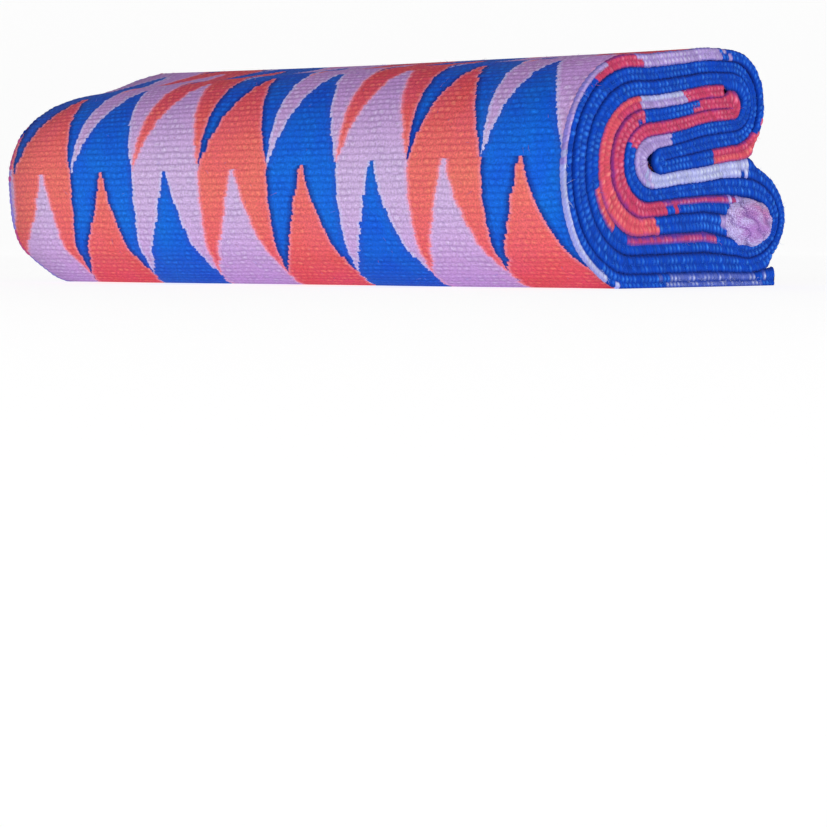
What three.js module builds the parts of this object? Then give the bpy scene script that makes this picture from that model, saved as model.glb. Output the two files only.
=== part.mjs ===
// A folded length of kente cloth, in millimetres, +Z up.
// The strip is folded back and forth, and the pad of layers is bent in half round its two middle layers.
// X runs along the fold from selvage to selvage, the bend is the front at -Y, and the two lobes are at +Y.
// The origin is under the middle of the cloth, on the surface that it rests on.

import * as THREE from 'three';

// Driving dimensions

const clothWidth = 110;        // selvage to selvage, along X
const pressedThickness = 1.2;  // the cloth where the layers lie tight
const looseThickness = 2.2;    // and where it stands loose, round the bend
const layerGap = 0.35;         // air left between two layers
const tailEndY = 24;           // the outer end lies flat under the lower lobe
const innerEndY = 10.6;        // the inner end stops inside the upper lobe
const widthSteps = 5;          // slices across the width
const stationSteps = 2;        // steps from one station of the bend to the next
const middleGuides = 7;        // steps along which the middle layers run beside the core
const frontStation = 7;        // the station that stands out furthest at the front

// The bend, from the upper lobe round the front to the lower lobe.
// y and z are on the outermost face, coreY and coreZ where the wraps end and the middle layers begin.
// place is a point in the columns of the table below: 0 top, 1 front, 2 foot, 3 lobe.
const stations = [
  { y: 12.6, z: 33.9, coreY: 12.6, coreZ: 22.5, place: 0.0 },
  { y: 6.0, z: 33.8, coreY: 6.0, coreZ: 21.7, place: 0.0 },
  { y: -1.0, z: 33.0, coreY: -0.5, coreZ: 20.3, place: 0.0 },
  { y: -8.5, z: 32.1, coreY: -4.5, coreZ: 19.6, place: 0.0 },
  { y: -15.5, z: 31.4, coreY: -6.9, coreZ: 19.2, place: 0.3 },
  { y: -21.2, z: 28.7, coreY: -8.2, coreZ: 18.6, place: 0.6 },
  { y: -25.4, z: 23.8, coreY: -8.8, coreZ: 18.0, place: 0.9 },
  { y: -27.3, z: 17.2, coreY: -8.9, coreZ: 17.3, place: 1.0 },
  { y: -26.6, z: 10.6, coreY: -8.5, coreZ: 16.5, place: 1.1 },
  { y: -23.4, z: 4.7, coreY: -7.6, coreZ: 15.9, place: 1.4 },
  { y: -17.6, z: 0.6, coreY: -6.2, coreZ: 15.5, place: 1.7 },
  { y: -11.0, z: 0.0, coreY: -3.8, coreZ: 15.7, place: 2.0 },
  { y: -2.5, z: 0.0, coreY: 0.3, coreZ: 16.3, place: 2.0 },
  { y: 5.0, z: 0.0, coreY: 6.0, coreZ: 16.9, place: 2.0 },
  { y: 11.0, z: 0.0, coreY: 11.6, coreZ: 17.9, place: 2.5 },
  { y: 16.5, z: 0.0, coreY: 16.5, coreZ: 18.3, place: 3.0 },
];

// The wraps, outermost first: how far in each one's middle lies, as a share of the depth to the core
const wraps = [
  { layer: 'A', top: 0.065, front: 0.045, foot: 0.050, lobe: 0.045 },
  { layer: 'B', top: 0.210, front: 0.175, foot: 0.200, lobe: 0.165 },
  { layer: 'C', top: 0.365, front: 0.330, foot: 0.375, lobe: 0.275 },
  { layer: 'D', top: 0.510, front: 0.490, foot: 0.555, lobe: 0.400 },
  { layer: 'E', top: 0.655, front: 0.650, foot: 0.705, lobe: 0.620 },
  { layer: 'F', top: 0.800, front: 0.790, foot: 0.830, lobe: 0.785 },
  { layer: 'G', top: 0.935, front: 0.930, foot: 0.945, lobe: 0.930 },
];

// The two middle layers of the upper lobe, as shares of the space between the sides of the core
const middles = [
  { layer: 'H', share: 0.27 },
  { layer: 'I', share: 0.71 },
];

// The cloth as it passes from its outer end to its inner end: a layer, the way that it runs,
// and the turn that takes it to the next one, with its reach in mm and how full its round is
const passes = [
  { layer: 'A', towards: 'upper', reach: 7.9, fullness: 2.1 },
  { layer: 'I', towards: 'front', reach: 1.3, fullness: 2.0 },
  { layer: 'H', towards: 'upper', reach: 6.1, fullness: 2.1 },
  { layer: 'B', towards: 'lower', reach: 10.2, fullness: 1.9 },
  { layer: 'G', towards: 'upper', reach: 4.3, fullness: 2.1 },
  { layer: 'C', towards: 'lower', reach: 8.2, fullness: 2.0 },
  { layer: 'F', towards: 'upper', reach: 1.0, fullness: 2.0 },
  { layer: 'E', towards: 'lower', reach: 6.1, fullness: 2.0 },
  { layer: 'D', towards: 'upper', reach: 0, fullness: 0 },
];
const turnSteps = 7;

// How unevenly the bundle lies
const leftSwell = 0.035;       // the left end stands this much taller
const frontSway = 0.5;         // the front wanders in and out along the fold
const swayWaves = 1.3;         // this many times over the width
const swayStart = 0.8;         // where in its wave the middle of the width lies, in radians
const rightRagged = 0.5;       // how far single layers stand out at the right end
const leftRagged = 0.9;
const topSetBack = 2.6;        // at the left end the top layers stop short
const leftSink = 3.2;          // the shoulder above the bend sinks this much at the left end
const sinkMiddleY = -16;       // where it sinks most
const sinkReach = 20;          // and how far to each side of that it fades out
const sinkFrom = 12;           // the cloth below this height doesn't sink
const sinkTo = 32;             // and from this height it sinks fully
const leftLean = 1.2;          // the bend stands out this much more at the left end
const footLean = 1.0;          // and again by this share of it low down
const footBelow = 4;           // the foot of the bend, up to this height
const footTo = 14;             // and where it ends
const leftPower = 4;           // how closely sinking and leaning keep to the left end
const straightBelow = 0.9;     // the layer that rests on the surface is straight, up to this height
const raggedAbove = 6;         // from here up the cloth is as uneven as given above
const restingWithin = 0.05;    // a face this low lies flat on the surface

// The waves in which single layers stand out at the ends, by length along the cloth
const raggedWaves = [
  { share: 0.3, length: 145, start: 0 },
  { share: 0.2, length: 60, start: 1 },
];

// Section

const lerp = THREE.MathUtils.lerp;
const clamp = THREE.MathUtils.clamp;
const smoothstep = THREE.MathUtils.smoothstep;

function shareAt(wrap, place) {
  const columns = [wrap.top, wrap.front, wrap.foot, wrap.lobe];
  const first = Math.min(Math.floor(place), columns.length - 2);
  return lerp(columns[first], columns[first + 1], place - first);
}

// The outer face and the edge of the core, as soft curves through the stations
const outerCurve = new THREE.SplineCurve(stations.map(({ y, z }) => new THREE.Vector2(y, z)));
const coreCurve = new THREE.SplineCurve(stations.map(({ coreY, coreZ }) => new THREE.Vector2(coreY, coreZ)));

const guides = Array.from({ length: (stations.length - 1) * stationSteps + 1 }, (_, i) => {
  const along = i / stationSteps;
  const first = Math.min(Math.floor(along), stations.length - 2);
  const place = lerp(stations[first].place, stations[first + 1].place, along - first);
  const t = along / (stations.length - 1);
  return { outer: outerCurve.getPoint(t), core: coreCurve.getPoint(t), place };
});

// A layer of the wrap: a point and a thickness at each guide, from the upper lobe to the lower one
function wrapLayer(index) {
  const wrap = wraps[index];
  const neighbours = [wraps[index - 1], wraps[index + 1]].filter((other) => other);
  const points = guides.map(({ outer, core, place }) => outer.clone().lerp(core, shareAt(wrap, place)));
  return guides.map(({ outer, core, place }, i) => {
    const before = points[Math.max(i - 1, 0)];
    const after = points[Math.min(i + 1, points.length - 1)];
    const along = after.clone().sub(before).normalize();
    const depth = Math.abs(core.clone().sub(outer).cross(along));
    const share = shareAt(wrap, place);
    const nearest = Math.min(...neighbours.map((other) => Math.abs(shareAt(other, place) - share))) * depth;
    const room = clamp(nearest - layerGap, pressedThickness, looseThickness);
    return { point: points[i], thickness: index === 0 ? 2 * share * depth : room };
  });
}

// A middle layer, from the upper lobe in to the bend
function middleLayer(share) {
  return guides.slice(0, middleGuides).map(({ core }, i) => {
    const under = guides.at(-1 - stationSteps - i).core;
    const point = core.clone().lerp(new THREE.Vector2(core.x, under.y), share);
    return { point, thickness: pressedThickness };
  });
}

// A soft turn from one layer to the next, reach past the middle of their ends
function turn(from, to, reach, fullness) {
  const bow = (value) => Math.sign(value) * Math.abs(value) ** (2 / fullness);
  return Array.from({ length: turnSteps }, (_, i) => {
    const angle = ((i + 1) / (turnSteps + 1)) * Math.PI;
    const point = from.point.clone().lerp(to.point, (1 - bow(Math.cos(angle))) / 2);
    point.x += reach * bow(Math.sin(angle));
    return { point, thickness: pressedThickness };
  });
}

function layerRun(pass) {
  const wrapIndex = wraps.findIndex((wrap) => wrap.layer === pass.layer);
  const run = wrapIndex >= 0
    ? wrapLayer(wrapIndex)
    : middleLayer(middles.find((middle) => middle.layer === pass.layer).share);
  return pass.towards === 'upper' ? run.reverse() : run;
}

// The whole cloth in section, as one line of points from the outer end to the inner end
function foldedLine() {
  const line = [{ point: new THREE.Vector2(tailEndY, stations.at(-1).z), thickness: 0 }];
  passes.forEach((pass, i) => {
    const run = layerRun(pass);
    line.push(...run);
    if (i + 1 < passes.length) {
      const outwards = pass.towards === 'front' ? -1 : 1;
      line.push(...turn(run.at(-1), layerRun(passes[i + 1])[0], outwards * pass.reach, pass.fullness));
    }
  });
  line[0].thickness = line[1].thickness;
  line[0].point.y += line[0].thickness / 2;
  const last = line.at(-1);
  const before = line.at(-2);
  const cut = (innerEndY - before.point.x) / (last.point.x - before.point.x);
  last.point.copy(before.point.clone().lerp(last.point, cut));
  return line;
}

// Both faces of the cloth: half a thickness to each side of the line
function clothFaces(line) {
  return line.map(({ point, thickness }, i) => {
    const before = line[Math.max(i - 1, 0)].point;
    const after = line[Math.min(i + 1, line.length - 1)].point;
    const along = after.clone().sub(before).normalize();
    const across = new THREE.Vector2(-along.y, along.x).multiplyScalar(thickness / 2);
    return { left: point.clone().add(across), right: point.clone().sub(across) };
  });
}

// Lie of the bundle

const unevenness = (point) => smoothstep(point.y, straightBelow, raggedAbove);

// Moves a point of the section to its place at x, so that the layers stay in order
function settle(x, point) {
  const leftness = clamp(0.5 - x / clothWidth, 0, 1);
  const atLeft = leftness ** leftPower;
  const swell = 1 + leftSwell * leftness ** 2;
  const nearShoulder = clamp(1 - ((point.x - sinkMiddleY) / sinkReach) ** 2, 0, 1) ** 2;
  const sink = leftSink * atLeft * nearShoulder * smoothstep(point.y, sinkFrom, sinkTo);
  const sway = frontSway * Math.sin((swayWaves * 2 * Math.PI * x) / clothWidth + swayStart);
  const foot = 1 + footLean * (1 - smoothstep(point.y, footBelow, footTo));
  const frontness = clamp(point.x / stations[frontStation].y, 0, 1) * unevenness(point);
  const depth = point.x + (sway - leftLean * atLeft * foot) * frontness;
  const height = point.y * swell - sink;
  return new THREE.Vector3(x, depth, height < restingWithin ? 0 : height);
}

// The two selvages of a point on the line, a little ragged from layer to layer
function selvages(point, travelled) {
  const wander = raggedWaves.reduce(
    (sum, { share, length, start }) => sum + share * Math.sin((2 * Math.PI * travelled) / length + start),
    0.5,
  );
  const highness = smoothstep(point.y, stations[frontStation].z, stations[0].z);
  const right = clothWidth / 2 - rightRagged * wander * unevenness(point);
  const left = -clothWidth / 2 + leftRagged * wander * unevenness(point) + topSetBack * highness;
  return { left, right };
}

// Solid

function clothGeometry() {
  const line = foldedLine();
  const faces = clothFaces(line);
  const count = line.length;
  const positions = [];
  const indices = [];
  let travelled = 0;
  const ends = line.map(({ point }, i) => {
    travelled += i > 0 ? point.distanceTo(line[i - 1].point) : 0;
    return selvages(point, travelled);
  });
  for (let step = 0; step <= widthSteps; step++) {
    for (const side of ['left', 'right']) {
      faces.forEach((face, i) => {
        const x = lerp(ends[i].left, ends[i].right, step / widthSteps);
        positions.push(...settle(x, face[side]).toArray());
      });
    }
  }
  const at = (step, side, i) => (step * 2 + side) * count + i;
  const quad = (a, b, c, d) => indices.push(a, b, c, a, c, d);
  for (let i = 0; i + 1 < count; i++) {
    for (let step = 0; step < widthSteps; step++) {
      quad(at(step, 0, i), at(step + 1, 0, i), at(step + 1, 0, i + 1), at(step, 0, i + 1));
      quad(at(step, 1, i), at(step, 1, i + 1), at(step + 1, 1, i + 1), at(step + 1, 1, i));
    }
    quad(at(0, 0, i), at(0, 0, i + 1), at(0, 1, i + 1), at(0, 1, i));
    quad(at(widthSteps, 0, i), at(widthSteps, 1, i), at(widthSteps, 1, i + 1), at(widthSteps, 0, i + 1));
  }
  for (let step = 0; step < widthSteps; step++) {
    quad(at(step, 0, 0), at(step, 1, 0), at(step + 1, 1, 0), at(step + 1, 0, 0));
    const end = count - 1;
    quad(at(step, 0, end), at(step + 1, 0, end), at(step + 1, 1, end), at(step, 1, end));
  }
  const geometry = new THREE.BufferGeometry();
  geometry.setAttribute('position', new THREE.Float32BufferAttribute(positions, 3));
  geometry.setIndex(indices);
  geometry.computeBoundingBox();
  const middle = geometry.boundingBox.getCenter(new THREE.Vector3());
  geometry.translate(-middle.x, -middle.y, 0);
  geometry.computeVertexNormals();
  return geometry;
}

const wovenCotton = new THREE.MeshStandardMaterial({ color: 0x1558d6, roughness: 0.9, metalness: 0 });

const cloth = new THREE.Mesh(clothGeometry(), wovenCotton);
cloth.name = 'kente_cloth';

const bundle = new THREE.Group();
bundle.add(cloth);

export default bundle;
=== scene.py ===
import math
from functools import partial

import bpy
import numpy as np
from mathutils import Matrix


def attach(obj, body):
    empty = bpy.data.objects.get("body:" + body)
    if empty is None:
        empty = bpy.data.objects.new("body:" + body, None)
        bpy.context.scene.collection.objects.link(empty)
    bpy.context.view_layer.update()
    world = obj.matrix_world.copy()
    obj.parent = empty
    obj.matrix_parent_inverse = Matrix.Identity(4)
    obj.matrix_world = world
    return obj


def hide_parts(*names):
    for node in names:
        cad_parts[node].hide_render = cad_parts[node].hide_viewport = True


# A narrow strip of kente cloth, folded back and forth into a pad and bent in half, on a pale studio floor.
# Sizes are in millimetres until a mesh is made. +X is the end that the camera sees, the bend faces -Y.

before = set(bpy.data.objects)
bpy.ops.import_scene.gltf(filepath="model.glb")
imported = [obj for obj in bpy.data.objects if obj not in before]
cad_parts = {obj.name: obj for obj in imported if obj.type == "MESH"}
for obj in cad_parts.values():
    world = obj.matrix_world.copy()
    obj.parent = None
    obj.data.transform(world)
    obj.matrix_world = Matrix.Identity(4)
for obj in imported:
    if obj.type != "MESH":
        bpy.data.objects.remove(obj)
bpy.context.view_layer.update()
mm = 0.001
rng = np.random.default_rng(11)


# Section of the folded cloth

fold = {
    "width": 110.0,         # selvage to selvage, along X
    "pressed": 1.2,         # the cloth where the layers lie tight
    "loose": 2.2,           # and where it stands loose, round the bend
    "gap": 0.35,            # air left between two layers
    "tailEnd": 24.0,        # y of the outer end, flat under the lower lobe
    "innerEnd": 10.6,       # y of the inner end, in the upper lobe
    "guideSteps": 12,       # steps from one station of the bend to the next
    "turnSteps": 24,        # steps round a turn
    "middleSpans": 3,       # stations along which the middle layers run
    "pick": 0.92,           # one weft thread to the next, along the cloth
    "samples": 4,           # rows of points to a pick
    "softLine": 2,          # the line is smoothed over this many rows on each side
    "softThickness": 8,     # and its thickness over this many
    "anotherLayer": 3.0,    # cloth that is further on than this, measured along it, is another layer
    "noLayer": 20.0,        # stands for the way to the next layer where there is none
}

# The bend, from the upper lobe round the front to the lower lobe: y and z on the outer face, y and z at
# the core, and a place in the columns of the next table (0 top, 1 front, 2 foot, 3 lobe)
stations = np.array([
    (12.6, 33.9, 12.6, 22.5, 0.0),
    (6.0, 33.8, 6.0, 21.7, 0.0),
    (-1.0, 33.0, -0.5, 20.3, 0.0),
    (-8.5, 32.1, -4.5, 19.6, 0.0),
    (-15.5, 31.4, -6.9, 19.2, 0.3),
    (-21.2, 28.7, -8.2, 18.6, 0.6),
    (-25.4, 23.8, -8.8, 18.0, 0.9),
    (-27.3, 17.2, -8.9, 17.3, 1.0),
    (-26.6, 10.6, -8.5, 16.5, 1.1),
    (-23.4, 4.7, -7.6, 15.9, 1.4),
    (-17.6, 0.6, -6.2, 15.5, 1.7),
    (-11.0, 0.0, -3.8, 15.7, 2.0),
    (-2.5, 0.0, 0.3, 16.3, 2.0),
    (5.0, 0.0, 6.0, 16.9, 2.0),
    (11.0, 0.0, 11.6, 17.9, 2.5),
    (16.5, 0.0, 16.5, 18.3, 3.0),
])
topZ = stations[0, 1]
frontY, frontZ = stations[stations[:, 0].argmin(), :2]

# Where in the depth each wrap's middle lies, outermost first: top, front, foot, lobe
wraps = {
    "A": (0.065, 0.045, 0.050, 0.045),
    "B": (0.210, 0.175, 0.200, 0.165),
    "C": (0.365, 0.330, 0.375, 0.275),
    "D": (0.510, 0.490, 0.555, 0.400),
    "E": (0.655, 0.650, 0.705, 0.620),
    "F": (0.800, 0.790, 0.830, 0.785),
    "G": (0.935, 0.930, 0.945, 0.930),
}
middles = {"H": 0.27, "I": 0.71}  # the two layers between the sides of the core

# The cloth from its outer to its inner end: layer, where it runs to, reach and fullness of the turn
passes = [
    ("A", "upper", 7.9, 2.1),
    ("I", "front", 1.3, 2.0),
    ("H", "upper", 6.1, 2.1),
    ("B", "lower", 10.2, 1.9),
    ("G", "upper", 4.3, 2.1),
    ("C", "lower", 8.2, 2.0),
    ("F", "upper", 1.0, 2.0),
    ("E", "lower", 6.1, 2.0),
    ("D", "upper", 0.0, 0.0),
]

lie = {
    "leftSwell": 0.035,     # the left end stands this much taller
    "frontSway": 0.5,       # the front wanders in and out along the fold
    "swayWaves": 1.3,       # this many times over the width
    "swayStart": 0.8,       # radians
    "rightRagged": 0.5,     # how far single layers stand out at the ends
    "leftRagged": 0.9,
    "topSetBack": 2.6,      # at the left end the top layers stop short
    "raggedWaves": ((0.3, 145.0, 0.0), (0.2, 60.0, 1.0)),  # share, length in mm, start in radians
    "straightBelow": 0.9,   # the layer on the floor is straight
    "raggedAbove": 6.0,
    "leftSink": 3.2,        # the shoulder above the bend sinks this much at the left end
    "sinkMiddle": -16.0,    # y where it sinks most
    "sinkReach": 20.0,      # and how far to each side of that it fades out
    "sinkFrom": 12.0,       # z where the sinking begins
    "sinkTo": 32.0,         # and where it is full
    "leftLean": 1.2,        # the bend stands out this much more at the left end
    "footLean": 1.0,        # and again by this share of it low down
    "footBelow": 4.0,
    "footTo": 14.0,
    "leftPower": 4,         # how closely sinking and leaning keep to the left end
}


def unit(v):
    # each row over its own length
    return v / np.linalg.norm(v, axis=1)[:, None]


def smoothstep(x, low, high):
    # 3t^2 - 2t^3, with t the share of the way from low to high
    t = np.clip((x - low) / (high - low), 0, 1)
    return t * t * (3 - 2 * t)


def spline(knots, at):
    # a cubic through the knots, whose slope at a knot is half the step from the one before to the one after
    first = np.minimum(np.floor(at).astype(int), len(knots) - 2)
    w = (at - first)[:, None]
    p0, p1, p2, p3 = (knots[np.clip(first + k, 0, len(knots) - 1)] for k in (-1, 0, 1, 2))
    v0, v1 = (p2 - p0) / 2, (p3 - p1) / 2
    return (2 * p1 - 2 * p2 + v0 + v1) * w**3 + (3 * p2 - 3 * p1 - 2 * v0 - v1) * w**2 + v0 * w + p1


spans = len(stations) - 1
guides = np.linspace(0, spans, spans * fold["guideSteps"] + 1)
outerRail = spline(stations[:, 0:2], guides)
coreRail = spline(stations[:, 2:4], guides)
places = np.interp(guides, np.arange(spans + 1), stations[:, 4])


def shareOf(name):
    # a wrap's share of the depth at each guide, straight from one column of its row to the next
    return np.interp(places, np.arange(4), wraps[name])


def wrapRun(name):
    # outer rail + share x (core rail - outer rail); as thick as the nearest layer allows, less the gap
    names = list(wraps)
    here = names.index(name)
    share = shareOf(name)
    across = coreRail - outerRail
    points = outerRail + across * share[:, None]
    along = unit(np.gradient(points, axis=0))
    depth = np.abs(across[:, 0] * along[:, 1] - across[:, 1] * along[:, 0])
    beside = [np.abs(shareOf(names[k]) - share) for k in (here - 1, here + 1) if 0 <= k < len(names)]
    room = np.min(beside, axis=0) * depth
    thick = 2 * share * depth if here == 0 else np.clip(room - fold["gap"], fold["pressed"], fold["loose"])
    return np.column_stack([points, thick])


def middleRun(name):
    # between the upper and the lower side of the core, at the layer's share of the way down
    at = np.linspace(0, fold["middleSpans"], fold["middleSpans"] * fold["guideSteps"] + 1)
    upper = spline(stations[:, 2:4], at)
    under = spline(stations[:, 2:4], spans - 1 - at)
    z = upper[:, 1] + (under[:, 1] - upper[:, 1]) * middles[name]
    return np.column_stack([upper[:, 0], z, np.full(len(at), fold["pressed"])])


def turn(start, end, reach, fullness):
    # half a superellipse: from start to end by (1 - bow(cos a)) / 2, and out by reach x bow(sin a)
    def bow(v):
        return np.sign(v) * np.abs(v) ** (2 / fullness)
    angle = np.linspace(0, np.pi, fold["turnSteps"] + 2)[1:-1]
    mix = ((1 - bow(np.cos(angle))) / 2)[:, None]
    points = start[:2] * (1 - mix) + end[:2] * mix
    points[:, 0] += reach * bow(np.sin(angle))
    return np.column_stack([points, np.full(len(angle), fold["pressed"])])


def layerRun(layer, towards):
    # the run of a wrap or of a middle layer, from the other end where it leads to the upper lobe
    run = wrapRun(layer) if layer in wraps else middleRun(layer)
    return run[::-1] if towards == "upper" else run


def foldedLine():
    # all runs and turns end to end, from the tail to the inner end, then spaced evenly by length
    parts = []
    for k, (layer, towards, reach, fullness) in enumerate(passes):
        run = layerRun(layer, towards)
        parts.append(run)
        if k + 1 < len(passes):
            way = -1 if towards == "front" else 1
            parts.append(turn(run[-1], layerRun(*passes[k + 1][:2])[0], way * reach, fullness))
    last = parts[-1]
    parts[-1] = last[: np.nonzero(last[:, 0] <= fold["innerEnd"])[0][-1] + 1]
    tail = np.array([[fold["tailEnd"], parts[0][0, 1], parts[0][0, 2]]])
    line = np.vstack([tail] + parts)
    length = np.r_[0, np.cumsum(np.linalg.norm(np.diff(line[:, :2], axis=0), axis=1))]
    at = np.arange(0, length[-1], fold["pick"] / fold["samples"])
    return at, np.column_stack([np.interp(at, length, column) for column in line.T])


def softened(values, reach):
    # a running mean over reach samples on each side, the ends held
    padded = np.pad(values, (reach, reach), mode="edge")
    return np.convolve(padded, np.ones(2 * reach + 1) / (2 * reach + 1), mode="valid")


along, line = foldedLine()
lineY, lineZ = (softened(line[:, k], fold["softLine"]) for k in (0, 1))
thickness = softened(line[:, 2], fold["softThickness"])
tangent = unit(np.column_stack([np.gradient(lineY), np.gradient(lineZ)]))
normal = np.column_stack([-tangent[:, 1], tangent[:, 0]])
clothLength = along[-1]
print(f"section: {clothLength:.0f} mm of cloth, {len(along)} rows")


# Lie of the bundle

def unevenness(z):
    # 0 on the floor, 1 from raggedAbove up
    return smoothstep(z, lie["straightBelow"], lie["raggedAbove"])


def wander(travelled):
    # 0.5 plus two sine waves along the cloth
    return 0.5 + sum(share * np.sin(2 * np.pi * travelled / length + start)
                     for share, length, start in lie["raggedWaves"])


def selvageX(travelled, z):
    # both edges stand in by the wander of their layer, and the top layers stop short at the left
    high = smoothstep(z, frontZ, topZ)
    ragged = wander(travelled) * unevenness(z)
    right = fold["width"] / 2 - lie["rightRagged"] * ragged
    left = -fold["width"] / 2 + lie["leftRagged"] * ragged + lie["topSetBack"] * high
    return left, right


def settle(x, y, z):
    # z x (1 + swell x leftness^2) less the sinking of the left shoulder, and y + a sine along x less the
    # lean of the left end, both fading towards the back and the floor
    leftness = np.clip(0.5 - x / fold["width"], 0, 1)
    atLeft = leftness ** lie["leftPower"]
    nearShoulder = np.clip(1 - ((y - lie["sinkMiddle"]) / lie["sinkReach"]) ** 2, 0, 1) ** 2
    sink = lie["leftSink"] * atLeft * nearShoulder * smoothstep(z, lie["sinkFrom"], lie["sinkTo"])
    sway = lie["frontSway"] * np.sin(lie["swayWaves"] * 2 * np.pi * x / fold["width"] + lie["swayStart"])
    foot = 1 + lie["footLean"] * (1 - smoothstep(z, lie["footBelow"], lie["footTo"]))
    frontness = np.clip(y / frontY, 0, 1) * unevenness(z)
    depth = y + (sway - lie["leftLean"] * atLeft * foot) * frontness
    height = z * (1 + lie["leftSwell"] * leftness**2) - sink
    return np.stack([x, depth, np.maximum(height, 0)], axis=-1)


leftEdge, rightEdge = selvageX(along, lineZ)
plainFaces = np.vstack([
    settle(edge, lineY + side * thickness / 2 * normal[:, 0], lineZ + side * thickness / 2 * normal[:, 1])
    for edge in (leftEdge, rightEdge) for side in (1, -1)
])
middle = np.array([0, (plainFaces[:, 1].min() + plainFaces[:, 1].max()) / 2, 0])  # the origin is under it


def roomBeside():
    # for each point of the line, half the way to the next layer along the normal, and against it
    nearby = slice(None, None, fold["samples"])
    fromY = lineY[:, None] - lineY[None, nearby]
    fromZ = lineZ[:, None] - lineZ[None, nearby]
    ahead = np.abs(fromY * tangent[:, :1] + fromZ * tangent[:, 1:])
    above = -(fromY * normal[:, :1] + fromZ * normal[:, 1:])
    other = (np.abs(along[:, None] - along[None, nearby]) > fold["anotherLayer"]) & (ahead < fold["pick"])
    up = np.where(other & (above > 0), above, fold["noLayer"]).min(axis=1) / 2
    down = np.where(other & (above < 0), -above, fold["noLayer"]).min(axis=1) / 2
    return up, down


roomUp, roomDown = roomBeside()


# Meshes

def gridQuads(rows, columns, ring=False):
    # the four corners of each cell of a grid of points, joined round if it is a ring
    i = np.arange(rows - 1)[:, None]
    j = np.arange(columns if ring else columns - 1)[None, :]
    after = (j + 1) % columns
    cells = [i * columns + j, i * columns + after, (i + 1) * columns + after, (i + 1) * columns + j]
    return np.stack(cells, -1).reshape(-1, 4)


def ringCap(columns):
    # quads straight across a ring, each between its points j and j + 1 and the two that lie opposite
    j = np.arange(columns // 2 - 1)
    return np.stack([j, columns - 1 - j, columns - 2 - j, j + 1], -1)


def closedTube(rows, columns):
    # a ring to each row, and a cap at both ends
    cap = ringCap(columns)
    return np.vstack([gridQuads(rows, columns, ring=True), cap, cap[:, ::-1] + (rows - 1) * columns])


def gridMap(u, v, shape):
    # a map for a grid of this shape, from u along its rows and v from row to row
    return np.column_stack([np.broadcast_to(u, shape).ravel(), np.broadcast_to(v, shape).ravel()])


def makePiece(name, points, quads, uv, tints):
    # points in mm, and faces turned so that the volume they close is positive
    a, b, c, d = (points[quads[:, k]] for k in range(4))
    volume = (np.einsum("ij,ij->", a, np.cross(b, c)) + np.einsum("ij,ij->", a, np.cross(c, d))) / 6
    if volume < 0:
        quads = quads[:, ::-1]
    mesh = bpy.data.meshes.new(name)
    mesh.vertices.add(len(points))
    mesh.vertices.foreach_set("co", ((points - middle) * mm).astype(np.float32).ravel())
    mesh.loops.add(quads.size)
    mesh.loops.foreach_set("vertex_index", quads.astype(np.int32).ravel())
    mesh.polygons.add(len(quads))
    mesh.polygons.foreach_set("loop_start", np.arange(0, quads.size, 4, dtype=np.int32))
    mesh.polygons.foreach_set("use_smooth", np.ones(len(quads), bool))
    mesh.update(calc_edges=True)
    layer = mesh.uv_layers.new(name="cloth")
    layer.uv.foreach_set("vector", uv[quads.ravel()].astype(np.float32).ravel())
    for key, values in tints.items():
        if values.ndim == 2:
            data = mesh.attributes.new(key, "FLOAT_COLOR", "POINT").data
            colours = np.column_stack([values, np.ones(len(values))])
            data.foreach_set("color", colours.astype(np.float32).ravel())
        else:
            data = mesh.attributes.new(key, "FLOAT", "POINT").data
            data.foreach_set("value", values.astype(np.float32))
    piece = bpy.data.objects.new(name, mesh)
    bpy.context.scene.collection.objects.link(piece)
    print(f"{name}: {len(quads) * 2} triangles, {abs(volume) / 1000:.1f} cm3")
    return piece


def chances(*shape):
    # random numbers with a mean of 0 and a spread of 1, none further out than 2
    return rng.normal(0, 1, shape).clip(-2, 2)


# The cloth: a thin closed sheet with a rib for each pick

cloth = {
    "columns": 15,          # points from selvage to selvage
    "rib": 0.05,            # how far a pick stands out of the face
    "ribLift": 0.5,         # at 1 the grooves between picks are level with the face, at 0 as deep as a rib
    "uneven": 0.015,        # how much picks differ
    "pucker": 0.07,         # soft waves, small against the gap between layers
    "puckerAcross": 9.0,    # mm to a radian of them, across the cloth
    "puckerAlong": 11.0,    # and along it
    "puckerSway": 2.0,      # how far they wind, in radians
    "puckerSwayAlong": 31.0,
    "skew": (0.8, 7.0),     # under the bend it runs askew: this much at the right, and more at the left
    "skewPower": 1.7,
    "skewFrom": 55.5,       # how far from the outer end this begins
    "skewOver": 16.0,       # and over how much cloth it comes in
    "skewMost": 1.1,        # up to this share of it
    "skewGrowth": 1.5,
    "drift": 2.0,           # past the front it strays this far to the left
    "driftOver": (62.0, 80.0),
    "lastColumn": 54.6,     # x where the last column ends
    "paintedHighlight": (58.0, 12.0),  # painted highlight, paler where the bend meets the light: place along the cloth, reach
}


def strayOf(s, share):
    # under the bend (least + more x (1 - share)^power) x (how far under)^growth, past the front the drift
    least, more = cloth["skew"]
    under = np.clip((cloth["skewFrom"] - s) / cloth["skewOver"], 0, cloth["skewMost"])
    skew = (least + more * (1 - share) ** cloth["skewPower"]) * under ** cloth["skewGrowth"]
    return skew + cloth["drift"] * smoothstep(s, *cloth["driftOver"])


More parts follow.
